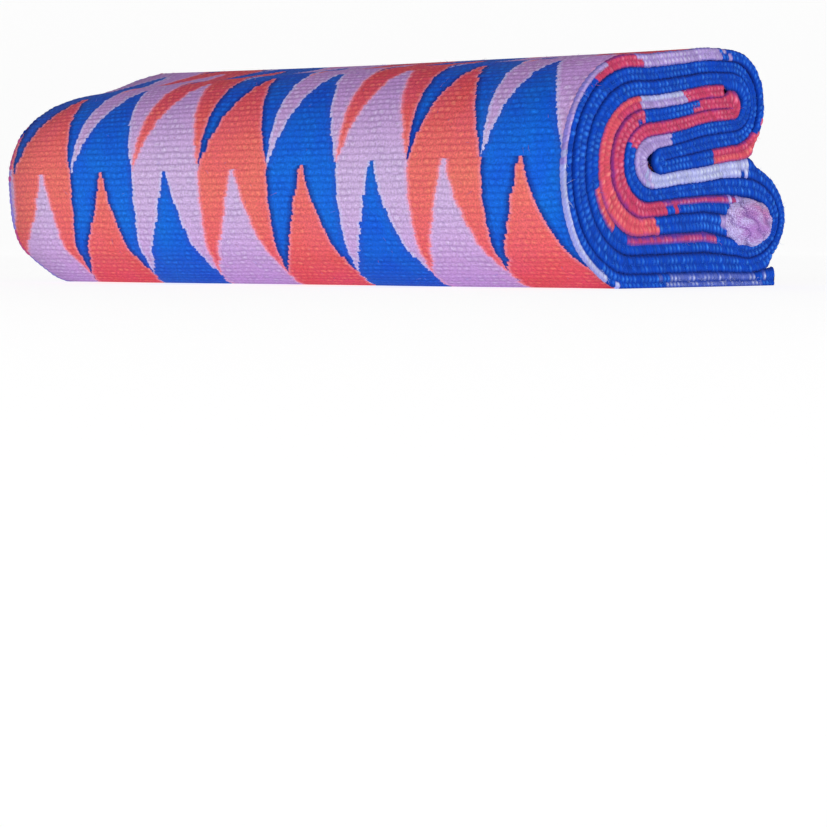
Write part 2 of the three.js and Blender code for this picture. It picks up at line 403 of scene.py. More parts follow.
def sheetQuads(rows, columns):
    # two grids, the second turned over under the first, and a row of quads along each of the four rims
    under = rows * columns
    upper = gridQuads(rows, columns)
    lower = upper[:, ::-1] + under
    i = np.arange(rows - 1)
    j = np.arange(columns - 1)
    leftRim = np.stack([i * columns, (i + 1) * columns, (i + 1) * columns + under, i * columns + under], -1)
    rightRim = leftRim[:, ::-1] + columns - 1
    firstRim = np.stack([j, j + under, j + 1 + under, j + 1], -1)
    lastRim = firstRim[:, ::-1] + (rows - 1) * columns
    return np.vstack([upper, lower, leftRim, rightRim, firstRim, lastRim])


def clothSheet():
    # face = line + or - (half the thickness + rib) x normal, for each x from the left to the right selvage
    share = np.linspace(0, 1, cloth["columns"])
    x = leftEdge[:, None] + (rightEdge - leftEdge)[:, None] * share
    pickAt = along / fold["pick"]
    rib = cloth["rib"] * (cloth["ribLift"] - np.cos(2 * np.pi * pickAt)) / (1 + cloth["ribLift"])
    rib = rib + cloth["uneven"] * chances(int(pickAt[-1]) + 2)[pickAt.astype(int)]
    sway = cloth["puckerSway"] * np.sin(along / cloth["puckerSwayAlong"])[:, None]
    pucker = np.sin(x / cloth["puckerAcross"] + sway) * np.sin(along / cloth["puckerAlong"])[:, None]
    faces = []
    for side in (1, -1):
        off = side * (thickness / 2 + rib)[:, None] + cloth["pucker"] * pucker
        y = lineY[:, None] + off * normal[:, :1]
        z = lineZ[:, None] + off * normal[:, 1:]
        faces.append(settle(x, y, z).reshape(-1, 3))
    across = (share - 0.5) * fold["width"] + strayOf(along[:, None], share)
    across = np.minimum(across, cloth["lastColumn"]) / fold["width"]
    uv = gridMap(across, along[:, None] / fold["width"], x.shape)
    # painted highlight: paler where the bend meets the light, a bell curve along the cloth
    place, reach = cloth["paintedHighlight"]
    paintedHighlight = np.repeat(np.exp(-(((along - place) / reach) ** 2)), cloth["columns"])
    points, quads = np.vstack(faces), sheetQuads(*x.shape)
    return makePiece("folded_cloth", points, quads, np.vstack([uv, uv]), {"paintedHighlight": np.tile(paintedHighlight, 2)})


# Colours

def linear(code):
    # an sRGB hex value as linear red, green and blue
    c = np.array([int(code[k:k + 2], 16) for k in (1, 3, 5)]) / 255
    return np.where(c <= 0.04045, c / 12.92, ((c + 0.055) / 1.055) ** 2.4)


def rgba(code):
    # the same with an alpha of 1, as sockets take it
    return (*linear(code), 1.0)


# Body, lit beads (painted highlight), grooves (painted shade), beside the next yarn, beside the one after
# it
yarn = {
    "coral": ("#D43C5C", "#FA9076", "#B83450", "#F09CB4", "#F2A6C0"),
    "blue": ("#0349BE", "#1E7EF6", "#03389A", "#2450BC", "#14186E"),
    "lilac": ("#BA86CE", "#DED2EE", "#7C6496", "#E6A6CC", "#C4D4FC"),
}


# The flame pattern, in the order coral, blue, lilac

pattern = {
    "column": 13.64,        # one flame to the next, across the cloth
    "firstColumn": -47.5,   # x of the middle of the leftmost whole column
    "row": 17.1,            # height of a flame along the cloth
    "tip": 60.3,            # where the first tips lie, from the outer end
    "rise": 1.6,            # and how much further out they lie at the right edge than at the left
    "foot": 5.7,            # below the first flames their colour runs on by this much
    "footIn": 0.05,         # taken from this far above their foot
    "blunt": 0.025,         # a flame begins this share of a column wide on each side of its middle
    "taper": 1.22,          # how slim the first flames are: 1 is a triangle
    "laterTaper": 1.0,      # the later ones are fuller
    "jag": 0.3,             # how much the picks miss the line
    "steps": 0.55,          # how far the line goes by whole picks
    "fuzz": 1.3,            # how far fibres blur the line
    "bead": 1.25,           # length of a float along a pick
    "rim": 0.65,            # how wide the yarns mix beside a change of colour
}
flameFoot = pattern["tip"] - pattern["row"]


# Selvages: along each edge the weft turns back in two rows of beads

selvage = {
    "outward": 11,          # points over the outside of the edge
    "inward": 3,            # and points inside the cloth
    "samples": 8,           # rows to a weft turn
    "reach": 0.55,          # how far the edge stands out beyond the sheet
    "inside": 0.6,          # how deep its inner points lie in the cloth, as a share of that
    "squareUp": 0.85,       # how square its round is: 1 is an ellipse
    "squareOut": 0.7,
    "press": 0.1,           # layers that touch press into each other by this
    "fill": 1.2,            # an edge swells up to this much to meet the next layer
    "open": 2.6,            # but not where the next layer is this far off
    "proud": 0.1,           # there it stands this much over the face
    "relief": 0.13,         # how high a bead stands over the groove beside it
    "sizes": (0.3, 0.4, 1.4),        # how much beads differ, the smallest and the largest
    "slant": 0.45,          # how far a turn leans along the cloth while it goes over the edge
    "drift": (0.16, 2.3, 1.5, 9.7),  # turns stray by this swayingWave, in turns
    "furrow": 0.2,          # between the two rows of a loose edge
    "furrowWide": 0.3,
    "looseFrom": 0.75,      # mean height of the edge from which it begins to count as loose
    "looseTo": 1.0,
}

# How the tones of the yarn lie on the beads, with painted highlight on their tops and painted shade in the
# grooves and where layers meet
tonesAndPaintedLight = {
    "mixed": 1.1,           # how far the turns mix where the yarn changes
    "lit": 0.42,            # how much of its light tone, a painted highlight, an average bead shows
    "unevenLit": 0.42,      # how much that varies from bead to bead
    "patchy": (0.22, 2.9, 2.0, 7.3),  # and by this swayingWave from stretch to stretch
    "ridge": (0.42, 0.5),   # the light lies this far up each row, and reaches this far
    "litFrom": 0.7,         # on the uppermost of each bead
    "shadeFrom": 0.5,       # grooves begin this far down between two beads
    "shade": 0.6,           # and show this much of their tone, a painted shade
    "furrowShade": 0.6,
    "margin": 0.85,         # so much of the margin's tone shows beside other layers, as painted shade where they meet; round a thin line it is the yarn there
    "marginSoft": 0.15,     # and it comes in over this share of the edge
    "marginUneven": 0.06,
    "thinAt": 0.45,         # a thin line of yarn lies this far up its row
    "thinBelow": 0.5,       # yarns narrower than this are thin lines
    "dye": 0.08,            # how much lighter or darker single turns are
}

# The yarn of the upper and of the lower row along the right edge, up to this far from the outer end
rightChart = [
    (4.0, "blue", "blue"), (28.0, "dashes", "dashes"), (42.0, "blue", "blue"), (62.5, "pale", "blue"),
    (72.0, "lilac", "blue"), (77.0, "lilac", "rose"), (84.9, "rose", "rose"), (104.8, "lilac", "lilac"),
    (123.5, "blue", "blue"), (136.0, "coral", "rose"), (306.7, "blue", "blue"), (332.0, "pale", "pale"),
    (344.8, "lilac", "lilac"), (415.6, "blue", "blue"), (422.5, "coral", "blue"), (426.5, "blue", "blue"),
    (449.0, "thin", "blue"), (511.8, "blue", "blue"), (549.5, "rose", "rose"), (562.0, "blue", "blue"),
    (586.0, "rose", "rose"), (603.3, "thin", "blue"), (625.4, "lilac", "lilac"), (643.0, "blue", "blue"),
    (666.0, "coral", "coral"), (672.0, "coral", "rose"), (684.0, "pale", "lilac"),
    (1000.0, "rose", "rose"),
]

# How each yarn looks there: its body, its lit beads (painted highlight), its grooves (painted shade), its
# margins beside other layers (painted shade where layers meet; round a thin line, the yarn beside it), and
# how wide its body is, as a share of the edge: a narrow one is a line along the middle of its row
edgeYarn = {
    "coral": ("#E4586A", "#FA9088", "#B83A58", "#9A4488", 0.78),
    "rose": ("#D5456B", "#EE809C", "#8E2C5E", "#6E2C80", 0.75),
    "blue": ("#0749C4", "#3C8AF4", "#052E92", "#042882", 0.8),
    "lilac": ("#B49CDA", "#DCD6F8", "#7E6AB6", "#6C66B8", 0.8),
    "pale": ("#B9BDEE", "#E2EAFE", "#8488CC", "#8C92DA", 0.75),
    "dashes": ("#5F72CE", "#C9D2FA", "#16309A", "#0D379E", 0.24),
    "thin": ("#C9487E", "#E08CB8", "#7A3080", "#063096", 0.2),
}


def leftYarnAt(at):
    # as in the flame pattern, (column + row, and 2 more inside a flame) modulo 3, at the left edge
    edge = (-fold["width"] / 2 + strayOf(at, 0) - pattern["firstColumn"]) / pattern["column"] + 0.5
    below = at < flameFoot - pattern["foot"]
    at = np.where(below, at + pattern["foot"], np.maximum(at, flameFoot + pattern["footIn"]))
    row = np.floor((at - pattern["tip"]) / pattern["row"] + 1)
    share = 1 - ((at - pattern["tip"]) / pattern["row"] + 1 - row)
    half = pattern["blunt"] + (0.5 - pattern["blunt"]) * share ** pattern["laterTaper"]
    inside = np.abs(edge - np.floor(edge) - 0.5) < half
    return ((np.floor(edge) + row + 2 * inside) % 3).astype(int)


def edgeTones(side, turnAt, upper):
    # the four tones and the width of the yarn at each point, by the place of its turn of weft
    if side > 0:
        index = np.searchsorted([row[0] for row in rightChart], turnAt, side="right")
        names = [row[1:] for row in rightChart]
    else:
        index = leftYarnAt(turnAt)
        names = [("coral", "coral"), ("blue", "blue"), ("lilac", "lilac")]
    kinds = sorted(edgeYarn)
    kind = np.searchsorted(kinds, np.array(names)[index, np.where(upper, 0, 1)])
    tones = np.array([[linear(code) for code in edgeYarn[name][:4]] for name in kinds])
    widths = np.array([edgeYarn[name][4] for name in kinds])
    return (*np.moveaxis(tones[kind], -2, 0), widths[kind])


def swayingWave(at, size, stretch, sway, swayStretch):
    # size x sin(at / stretch + sway x sin(at / swayStretch))
    return size * np.sin(at / stretch + sway * np.sin(at / swayStretch))


def beadTint(side, at, up, turn, chance, bead, furrow):
    # body, then towards the lit tone on top of beads (painted highlight), the grooves' between them
    # (painted shade) and the margin's at rims (painted shade where layers meet; round a thin line, the yarn
    # beside it)
    change = turn * fold["pick"] + tonesAndPaintedLight["mixed"] * chance[turn, (up > 0).astype(int)]
    body, lit, groove, margin, width = edgeTones(side, change, np.broadcast_to(up > 0, turn.shape))
    rowMiddle, reach = tonesAndPaintedLight["ridge"]
    ridge = 1 - ((np.abs(up) - rowMiddle) / reach) ** 2
    light = tonesAndPaintedLight["lit"] + swayingWave(at, *tonesAndPaintedLight["patchy"])[:, None] + tonesAndPaintedLight["unevenLit"] * chance[turn, 0]
    onTop = smoothstep(bead * ridge, tonesAndPaintedLight["litFrom"], 1.0) * light.clip(0, 1)
    between = np.maximum(smoothstep(1 - bead, tonesAndPaintedLight["shadeFrom"], 1.0), tonesAndPaintedLight["furrowShade"] * furrow)
    away = np.where(width < tonesAndPaintedLight["thinBelow"], np.abs(np.abs(up) - tonesAndPaintedLight["thinAt"]), np.abs(up))
    away = away + tonesAndPaintedLight["marginUneven"] * chance[turn, 1]
    atRim = smoothstep(away, width - tonesAndPaintedLight["marginSoft"], width + tonesAndPaintedLight["marginSoft"])
    tint = body
    for tone, share in ((lit, onTop), (groove, tonesAndPaintedLight["shade"] * between), (margin, tonesAndPaintedLight["margin"] * atRim)):
        tint = tint + (tone - tint) * share[..., None]
    return tint * (1 + tonesAndPaintedLight["dye"] * chance[turn, 1])[..., None]


def selvageEdge(name, side):
    # across the edge a full round, x + side x reach x |cos a|^squareOut, and along the normal as far as
    # there is room; along it a row of beads above and one below, half a turn of weft apart
    at = np.arange(0, clothLength, fold["pick"] / selvage["samples"])

    def atRows(values):
        # what the line has, read off at the edge's own rows
        return np.interp(at, along, values)

    outward = np.linspace(-np.pi / 2, np.pi / 2, selvage["outward"])
    inward = np.linspace(np.pi / 2, 3 * np.pi / 2, selvage["inward"] + 2)[1:-1]
    angle = np.r_[outward, inward]
    up = np.sign(np.sin(angle)) * np.abs(np.sin(angle)) ** selvage["squareUp"]
    out = np.where(np.cos(angle) > 0, np.abs(np.cos(angle)) ** selvage["squareOut"], -selvage["inside"])

    # as high on each side as half the way to the next layer, or a little over the face where none is near
    thick = atRows(thickness) / 2
    high = []
    for room in (roomUp, roomDown):
        spare = np.clip(atRows(room) - thick, 0, None)
        openness = smoothstep(spare, selvage["fill"], selvage["open"])
        filled = np.clip(spare + selvage["press"], 0, selvage["fill"])
        extra = filled * (1 - openness) + selvage["proud"] * openness
        high.append(softened(thick + extra, selvage["samples"]))
    high = np.where(up > 0, high[0][:, None], high[1][:, None])

    # beads: half a circle along each turn, and a furrow between the two rows where the edge is loose
    turns = int(clothLength / fold["pick"]) + 3
    chance = chances(turns, 2)
    travelled = at / fold["pick"] + swayingWave(at, *selvage["drift"]) + 0.5
    phase = travelled[:, None] + 0.5 * (up > 0) + selvage["slant"] * up
    turn = np.floor(phase).astype(int).clip(0, turns - 1)
    bead = np.sqrt(np.clip(1 - (2 * (phase - np.floor(phase)) - 1) ** 2, 0, 1))
    loose = smoothstep(high.sum(axis=1) / len(angle), selvage["looseFrom"], selvage["looseTo"])[:, None]
    furrow = np.exp(-((up * high / selvage["furrowWide"]) ** 2)) * loose
    differ, smallest, largest = selvage["sizes"]
    size = (1 + differ * chance[turn, (up > 0).astype(int)]).clip(smallest, largest)
    low = selvage["relief"] * (1 - bead * size) + selvage["furrow"] * furrow
    low[:, selvage["outward"]:] = 0

    edge = atRows(rightEdge if side > 0 else leftEdge)[:, None]
    x = edge + side * (selvage["reach"] * out - low * (out > 0) * np.abs(np.cos(angle)))
    off = up * (high - low * np.abs(np.sin(angle)))
    y = atRows(lineY)[:, None] + off * atRows(normal[:, 0])[:, None]
    z = atRows(lineZ)[:, None] + off * atRows(normal[:, 1])[:, None]
    points = settle(x, y, z).reshape(-1, 3)
    uv = gridMap(angle / (2 * np.pi), at[:, None] / fold["width"], x.shape)
    tint = beadTint(side, at, up, turn, chance, bead, furrow)
    return makePiece(name, points, closedTube(*x.shape), uv, {"yarn": tint.reshape(-1, 3)})


# The corner that is turned in at the right end, where the lilac side of the cloth bulges out of its fold

corner = {
    "place": (54.8, 17.1, 9.2),
    "size": (2.2, 6.0, 3.5),
    "rings": 110,
    "around": 180,
    "creases": 0.15,        # how deep the creases are, as a share of the size
    "crossShare": 0.35,     # how much of that the second set of creases has
    "sunk": 0.75,           # and how much of it lies below the ellipsoid
    # both sets of creases: radians along y and along z, start, and how round their ridges are
    "lengthways": (4.6, 1.84, 0.0, 0.9),
    "crossways": (-1.9, 2.7, 0.9, 0.6),
    # the waves that wind them: size, radians along y and along z, start
    "lengthwaysWound": ((0.9, 0.0, 2.9, 0.5), (0.45, 6.0, -4.0, 0.0), (0.35, 5.0, 13.0, 0.0)),
    "crosswaysWound": ((0.7, 5.0, 0.0, 0.0),),
    "thread": 0.022,        # how far the weave stands out, again as a share
    "warp": (30.4, 22.8, 0.0),
    "weft": (30.0, -40.0, 0.0),
    "threadOn": (0.3, 0.7),  # it begins at this height of a ridge, and is full at this
    "fuzz": 0.22,           # how uneven the tones are from fibre to fibre
    "tones": ("#B483CE", "#C9C4F0", "#6E4C98", "#D98CC0"),  # body, frayed rim and painted highlight on crests, painted shade in creases, blush
    "blushWay": (-0.2, 0.8, 0.3, 4.0),  # it blushes upwards: by y, by z, and by a wave along y
    "blushOn": (0.1, 0.8),
    "frayOn": (0.6, 1.0),   # it is frayed from here out to its rim
    "frayUneven": 0.5,
    "crestOn": (0.7, 1.2),  # and as a painted highlight on the highest ridges towards the front
    "crestFront": 0.5,
    "crestShare": 0.8,
    "creaseOn": (0.0, 0.6),  # heights up to which the painted shade in the creases fades out
    "frayedAndLit": 0.85,         # how much of each tone shows
    "creaseShadeShare": 0.7,
    "flecked": 0.6,
    "mapLength": 0.15,      # from end to end on the map, as a share of the cloth's width
}


def turnedCorner():
    # an ellipsoid whose radius is 1 + creases x (two crossed waves with sharp valleys) + a fine weave
    u = np.linspace(0, np.pi, corner["rings"])[1:-1, None]
    v = np.linspace(0, 2 * np.pi, corner["around"], endpoint=False)[None, :]
    way = np.stack([np.cos(u) + 0 * v, np.sin(u) * np.cos(v), np.sin(u) * np.sin(v)], -1)
    sideY, sideZ = way[..., 1], way[..., 2]

    def wave(alongY, alongZ, start):
        # the sine of so many radians along y and along z
        return np.sin(alongY * sideY + alongZ * sideZ + start)

    def ridgesOf(name):
        # |sine, wound by smaller waves|, to the power that rounds its ridges
        alongY, alongZ, start, power = corner[name]
        wound = sum(size * wave(*rest) for size, *rest in corner[name + "Wound"])
        return np.abs(wave(alongY, alongZ, start + wound)) ** power

    ridges, cross = ridgesOf("lengthways"), ridgesOf("crossways")
    crossShare = corner["crossShare"]
    relief = corner["creases"] * ((1 - crossShare) * ridges + crossShare * cross - corner["sunk"])
    threads = corner["thread"] * wave(*corner["warp"]) * wave(*corner["weft"])
    radius = 1 + relief + threads * smoothstep(ridges, *corner["threadOn"])
    points = np.array(corner["place"]) + way * radius[..., None] * np.array(corner["size"])

    # body, then towards the blush, the pale tone of the frayed rim and of the painted highlight on crests,
    # and the painted shade in the creases, all of it flecked
    body, frayedAndLit, creaseShade, blush = (linear(code) for code in corner["tones"])
    fleck = corner["fuzz"] * chances(*radius.shape)
    byY, byZ, size, waves = corner["blushWay"]
    upwards = byY * sideY + byZ * sideZ + size * np.sin(waves * sideY)
    flush = smoothstep(upwards + fleck, *corner["blushOn"])
    rim = smoothstep(np.hypot(sideY, sideZ) + corner["frayUneven"] * fleck, *corner["frayOn"])
    # painted highlight on the highest ridges towards the front
    crest = smoothstep(ridges * cross - corner["crestFront"] * sideY + fleck, *corner["crestOn"])
    pale = corner["frayedAndLit"] * np.maximum(rim, corner["crestShare"] * crest)
    # painted shade in the creases
    low = corner["creaseShadeShare"] * (1 - smoothstep(ridges + fleck, *corner["creaseOn"]))
    tint = body
    for tone, share in ((blush, flush), (frayedAndLit, pale), (creaseShade, low)):
        tint = tint + (tone - tint) * share[..., None]
    tint = tint * (1 + corner["flecked"] * fleck[..., None])
    uv = gridMap(v / (2 * np.pi), u / np.pi * corner["mapLength"], radius.shape)
    quads = closedTube(*radius.shape)
    return makePiece("turned_corner", points.reshape(-1, 3), quads, uv, {"yarn": tint.reshape(-1, 3)})


# Stray fibres: they have worked out of the yarns and stand a little off both ends and the open faces

fibre = {
    "onEdge": 1500,         # how many stand off each selvage
    "onFace": 700,          # and off the open faces
    "long": (0.25, 1.1),
    "thick": 0.022,         # radius at the root: several times a real one, which is too fine to show
    "thin": 0.3,            # share of that at the tip
    "stand": (0.1, 0.6),    # how steeply they leave the cloth
    "curl": 0.45,           # how far they bend away, as a share of their length
    "back": 0.3,            # and how far back towards the cloth, as a share of that
    "samples": 5,           # points along a fibre
    "upTo": 0.8,            # on an edge they root no higher than this share of it, and so far out
    "across": 0.5,          # and lie less across the layer than along it, by this
    "inset": 0.01,          # on a face they stay this share of the width clear of the selvages
    "clear": 1.5,           # none so close to the floor
    "onFaceTones": ("#A394DC", "#C77CA6", "#4C7EDC"),
    "askew": (0.3, 0.5, 0.8),  # any direction that no fibre has, to find two directions across a fibre
}


def fibreRoots():
    # for each fibre its row of the line, x, height on the layer, side of the edge (0 on a face) and colour
    roots = []
    for side, edge in ((1, rightEdge), (-1, leftEdge)):
        row = rng.integers(0, len(along), fibre["onEdge"])
        up = rng.uniform(-fibre["upTo"], fibre["upTo"], len(row))
        x = edge[row] + side * fibre["upTo"] * selvage["reach"]
        litTone = edgeTones(side, along[row], up > 0)[1]
        roots.append((row, x, up, np.full(len(row), side), litTone))
    faceTones = np.array([linear(code) for code in fibre["onFaceTones"]])
    for side, room in ((1, roomUp), (-1, roomDown)):
        free = np.nonzero((room > selvage["open"]) & (lineZ > fibre["clear"]))[0]
        row = rng.choice(free, fibre["onFace"] // 2)
        share = rng.uniform(fibre["inset"], 1 - fibre["inset"], len(row))
        x = leftEdge[row] + (rightEdge - leftEdge)[row] * share
        tone = faceTones[rng.integers(0, len(faceTones), len(row))]
        roots.append((row, x, np.full(len(row), side), np.zeros(len(row)), tone))
    return (np.concatenate(values) for values in zip(*roots))


def strayFibres():
    # centre = root + length x (way x t + curl x bend x t^2), with a square section that thins to the tip;
    # way lies along the cloth and leaves it at a slant, from the rounds of the selvages and the open faces
    row, x, up, out, tone = fibreRoots()
    count = len(row)
    withCloth = np.column_stack([np.zeros(count), tangent[row]])
    offCloth = np.column_stack([np.zeros(count), normal[row]])
    sideways = np.tile([1.0, 0.0, 0.0], (count, 1))
    onEdge = (out != 0)[:, None]
    beside = np.where(onEdge, fibre["across"] * offCloth, sideways)
    away = np.where(onEdge, out[:, None] * sideways, up[:, None] * offCloth)
    heading = rng.uniform(-np.pi, np.pi, (count, 1))
    stand = rng.uniform(*fibre["stand"], (count, 1))
    way = unit(np.cos(heading) * withCloth + np.sin(heading) * beside + stand * away)
    bend = unit(rng.normal(0, 1, (count, 3))) - fibre["back"] * away
    length = rng.uniform(*fibre["long"], (count, 1, 1))
    root = np.column_stack([x, lineY[row], lineZ[row]]) + (up * thickness[row] / 2)[:, None] * offCloth
    t = np.linspace(0, 1, fibre["samples"])[None, :, None]
    centre = root[:, None] + length * (way[:, None] * t + fibre["curl"] * bend[:, None] * t**2)

    first = unit(np.cross(way, fibre["askew"]))
    second = np.cross(way, first)
    quarter = (np.arange(4) * np.pi / 2)[:, None]
    square = np.cos(quarter) * first[:, None, None] + np.sin(quarter) * second[:, None, None]
    radius = fibre["thick"] * (1 - (1 - fibre["thin"]) * t)[..., None]
    points = settle(*np.moveaxis(centre[:, :, None] + radius * square, -1, 0)).reshape(-1, 3)
    each = 4 * fibre["samples"]
    quads = closedTube(fibre["samples"], 4)[None] + (np.arange(count) * each)[:, None, None]
    uv = np.column_stack([np.tile(np.arange(4) / 4, count * fibre["samples"]),
                          np.repeat(along[row] / fold["width"], each)])
    tints = {"yarn": np.repeat(tone, each, axis=0)}
    return makePiece("stray_fibres", points, quads.reshape(-1, 4), uv, tints)


# Materials

def addNode(tree, kind, links=None, **settings):
    # one node with its settings, or a Math node if the kind is one of its operations, in capitals; links is
    # a list or a dict of values or of outputs of other nodes
    if kind.isupper():
        kind, settings = "Math", {"operation": kind}
    made = tree.nodes.new("ShaderNode" + kind)
    for key, value in settings.items():
        setattr(made, key, value)
    for key, value in (links.items() if isinstance(links, dict) else enumerate(links or [])):
        if isinstance(value, bpy.types.NodeSocket):
            tree.links.new(value, made.inputs[key])
        else:
            made.inputs[key].default_value = value
    return made.outputs[0] if made.outputs else made


def newMaterial(name):
    # a material with an empty tree, and the helper that adds a node to it
    material = bpy.data.materials.new(name)
    material.use_nodes = True
    material.node_tree.nodes.clear()
    return material, partial(addNode, material.node_tree)


# Sizes are in mm, and noises in features to a mm. Real fibres are too fine to show, so these are coarser.
weave = {
    "wobble": 0.5,          # how far a pick strays along the cloth
    "coarse": {"wobble": 0.35, "floats": 0.5, "dye": 0.16},  # what strays slowly
    "fine": {"fuzz": (2.6, 0.8), "fibres": (3.2, 0.85)},     # and fibres, with their roughness
    "seed": 7.0,            # of the chance that each pick has
    "uneven": 0.9,          # how much floats differ in length
    "slide": 0.35,          # and they stray along their pick by up to this share
    "flat": 0.6,            # share of a bead's height that runs on from float to float
    "litPower": 1.6,        # painted highlight: light keeps to the top of a bead
    "chancePower": 2.0,     # and few beads have much of it
    "lit": 0.06,            # the least share of the light tone on top of a bead
    "litMore": 0.45,        # and how much more by chance
    "groove": -0.45,        # share of the dark tone in a groove, a painted shade
    "grooveFibres": 1.2,    # and how much more by fibres
    "grooveMore": 0.4,      # and by chance
    "paintedHighlight": 0.52,          # share of the light tone in the painted highlight where the bend meets the light
    "rim": 0.55,            # share of the rim's tone beside a change of colour
    "blueRim": 0.3,         # and how much more in blue,
    "blueWide": 0.45,       # whose rim is wider too
    "value": -0.18,         # brightness, then what fibres and picks add to it
    "valueFibres": 2.3,
    "valuePick": 0.06,
    "hue": 0.49,            # 0.5 leaves hues as they are
    "dye": 0.02,            # how far the dye strays
    "beadHeight": 0.5,      # shares of the relief
    "fibreHeight": 0.7,
    "relief": 0.08,         # depth of the relief
}


def finish(add, body, height, depth):
    # dull yarn with a faint bloom, its relief up to depth in mm
    bump = add("Bump", {"Strength": 0.8, "Distance": depth * mm, "Height": height})
    shader = add("BsdfPrincipled", {
        "Base Color": body, "Roughness": 0.9, "Specular IOR Level": 0.08,
        "Sheen Weight": 0.03, "Sheen Roughness": 0.5, "Normal": bump,
    })
    add("OutputMaterial", [shader])


def wovenCotton():
    # Handwoven cotton and rayon in a flame pattern: matt, ribbed along the picks, a bead for each float.
    # The eye reads rows of small beads, jagged colour changes and a soft bloom of fibres.
    material, add = newMaterial("handwoven cotton and rayon")
    uv = add("UVMap", uv_map="cloth")
    mms = add("VectorMath", [uv, (fold["width"],) * 3], operation="MULTIPLY")
    parts = add("SeparateXYZ", [mms]).node.outputs
    across = parts["X"]
    noises = {}
    for name, scale in weave["coarse"].items():
        scaled = {"Vector": mms, "Scale": scale, "Detail": 2.0}
        noises[name] = add("TexNoise", scaled, noise_dimensions="2D")
    for name, (scale, roughness) in weave["fine"].items():
        scaled = {"Vector": mms, "Scale": scale, "Detail": 4.0, "Roughness": roughness}
        noises[name] = add("TexNoise", scaled)
    fibres = noises["fibres"]

    # the pick at each point, and how far off the pick's middle the point is
    strayed = add("MULTIPLY_ADD", [noises["wobble"], weave["wobble"], parts["Y"]])
    pickAt = add("DIVIDE", [strayed, fold["pick"]])
    pick = add("FLOOR", [pickAt])
    pickSide = add("SUBTRACT", [add("FRACT", [pickAt]), 0.5])
    jag = add("TexWhiteNoise", [add("CombineXYZ", [pick, weave["seed"], 0.0])], noise_dimensions="2D")

    # columns of flames, their sides jagged from pick to pick
    blur = add("SUBTRACT", [noises["fuzz"], 0.5])
    shifted = add("MULTIPLY_ADD", [blur, pattern["fuzz"], across])
    missed = add("SUBTRACT", [jag, 0.5])
    shifted = add("MULTIPLY_ADD", [missed, pattern["jag"], shifted])
    start = 0.5 - pattern["firstColumn"] / pattern["column"]
    column = add("MULTIPLY_ADD", [shifted, 1 / pattern["column"], start])
    columnIndex = add("FLOOR", [column])
    offMiddle = add("SUBTRACT", [add("FRACT", [column]), 0.5])
    sideways = add("ABSOLUTE", [offMiddle])

    # place along the cloth, partly in whole picks, held or set back where the first flames' colour runs on
    stepped = add("MULTIPLY_ADD", [pickSide, -pattern["steps"], pickAt])
    stepped = add("MULTIPLY", [stepped, fold["pick"]])
    slope = pattern["rise"] / fold["width"]
    lift = add("MULTIPLY_ADD", [across, slope, pattern["rise"] / 2])
    place = add("SUBTRACT", [stepped, lift])
    below = add("LESS_THAN", [place, flameFoot - pattern["foot"]])
    above = add("SUBTRACT", [1.0, below])
    held = add("MAXIMUM", [place, flameFoot + pattern["footIn"]])
    setBack = add("MULTIPLY", [below, add("ADD", [place, pattern["foot"]])])
    place = add("MULTIPLY_ADD", [above, held, setBack])
    start = 1 - pattern["tip"] / pattern["row"]
    row = add("MULTIPLY_ADD", [place, 1 / pattern["row"], start])
    rowIndex = add("FLOOR", [row])

    # half a flame's width is blunt + (0.5 - blunt) x (way to the tip)^taper; each pick misses it a little
    toTip = add("SUBTRACT", [1.0, add("FRACT", [row])])
    isFirst = add("COMPARE", [rowIndex, 0.0, 0.5])
    slimmer = pattern["taper"] - pattern["laterTaper"]
    taper = add("MULTIPLY_ADD", [isFirst, slimmer, pattern["laterTaper"]])
    half = add("POWER", [toTip, taper])
    half = add("MULTIPLY_ADD", [half, 0.5 - pattern["blunt"], pattern["blunt"]])
    flameSeed = add("CombineXYZ", [pick, columnIndex, 0.0])
    flameJag = add("TexWhiteNoise", [flameSeed], noise_dimensions="2D")
    missed = add("SUBTRACT", [flameJag, 0.5])
    half = add("MULTIPLY_ADD", [missed, pattern["jag"] / pattern["column"], half])
    inside = add("LESS_THAN", [sideways, half])

    # which of the three yarns, as 0, 1/3 or 2/3: the next for each column and row, and 2 on inside a flame
    turns = add("ADD", [columnIndex, rowIndex])
    turns = add("MULTIPLY_ADD", [inside, 2.0, turns])
    turns = add("FLOORED_MODULO", [turns, 3.0])
    which = add("DIVIDE", [turns, 3.0])
    isBlue = add("COMPARE", [which, 1 / 3, 0.1])
    pastStop = add("ADD", [which, 0.02])
    tones = []
    for coral, blue, lilac in zip(*yarn.values()):
        ramp = add("ValToRGB", [pastStop]).node
        ramp.color_ramp.interpolation = "CONSTANT"
        stops = ramp.color_ramp.elements
        stops[0].position, stops[0].color = 0.0, rgba(coral)
        stops[1].position, stops[1].color = 1 / 3, rgba(blue)
        stops.new(2 / 3).color = rgba(lilac)
        tones.append(ramp.outputs["Color"])
    # light is the tone of the painted highlight on beads, and the dark one that of the painted shade in
    # grooves
    body, light, grooveShade, besideNext, besideLast = tones

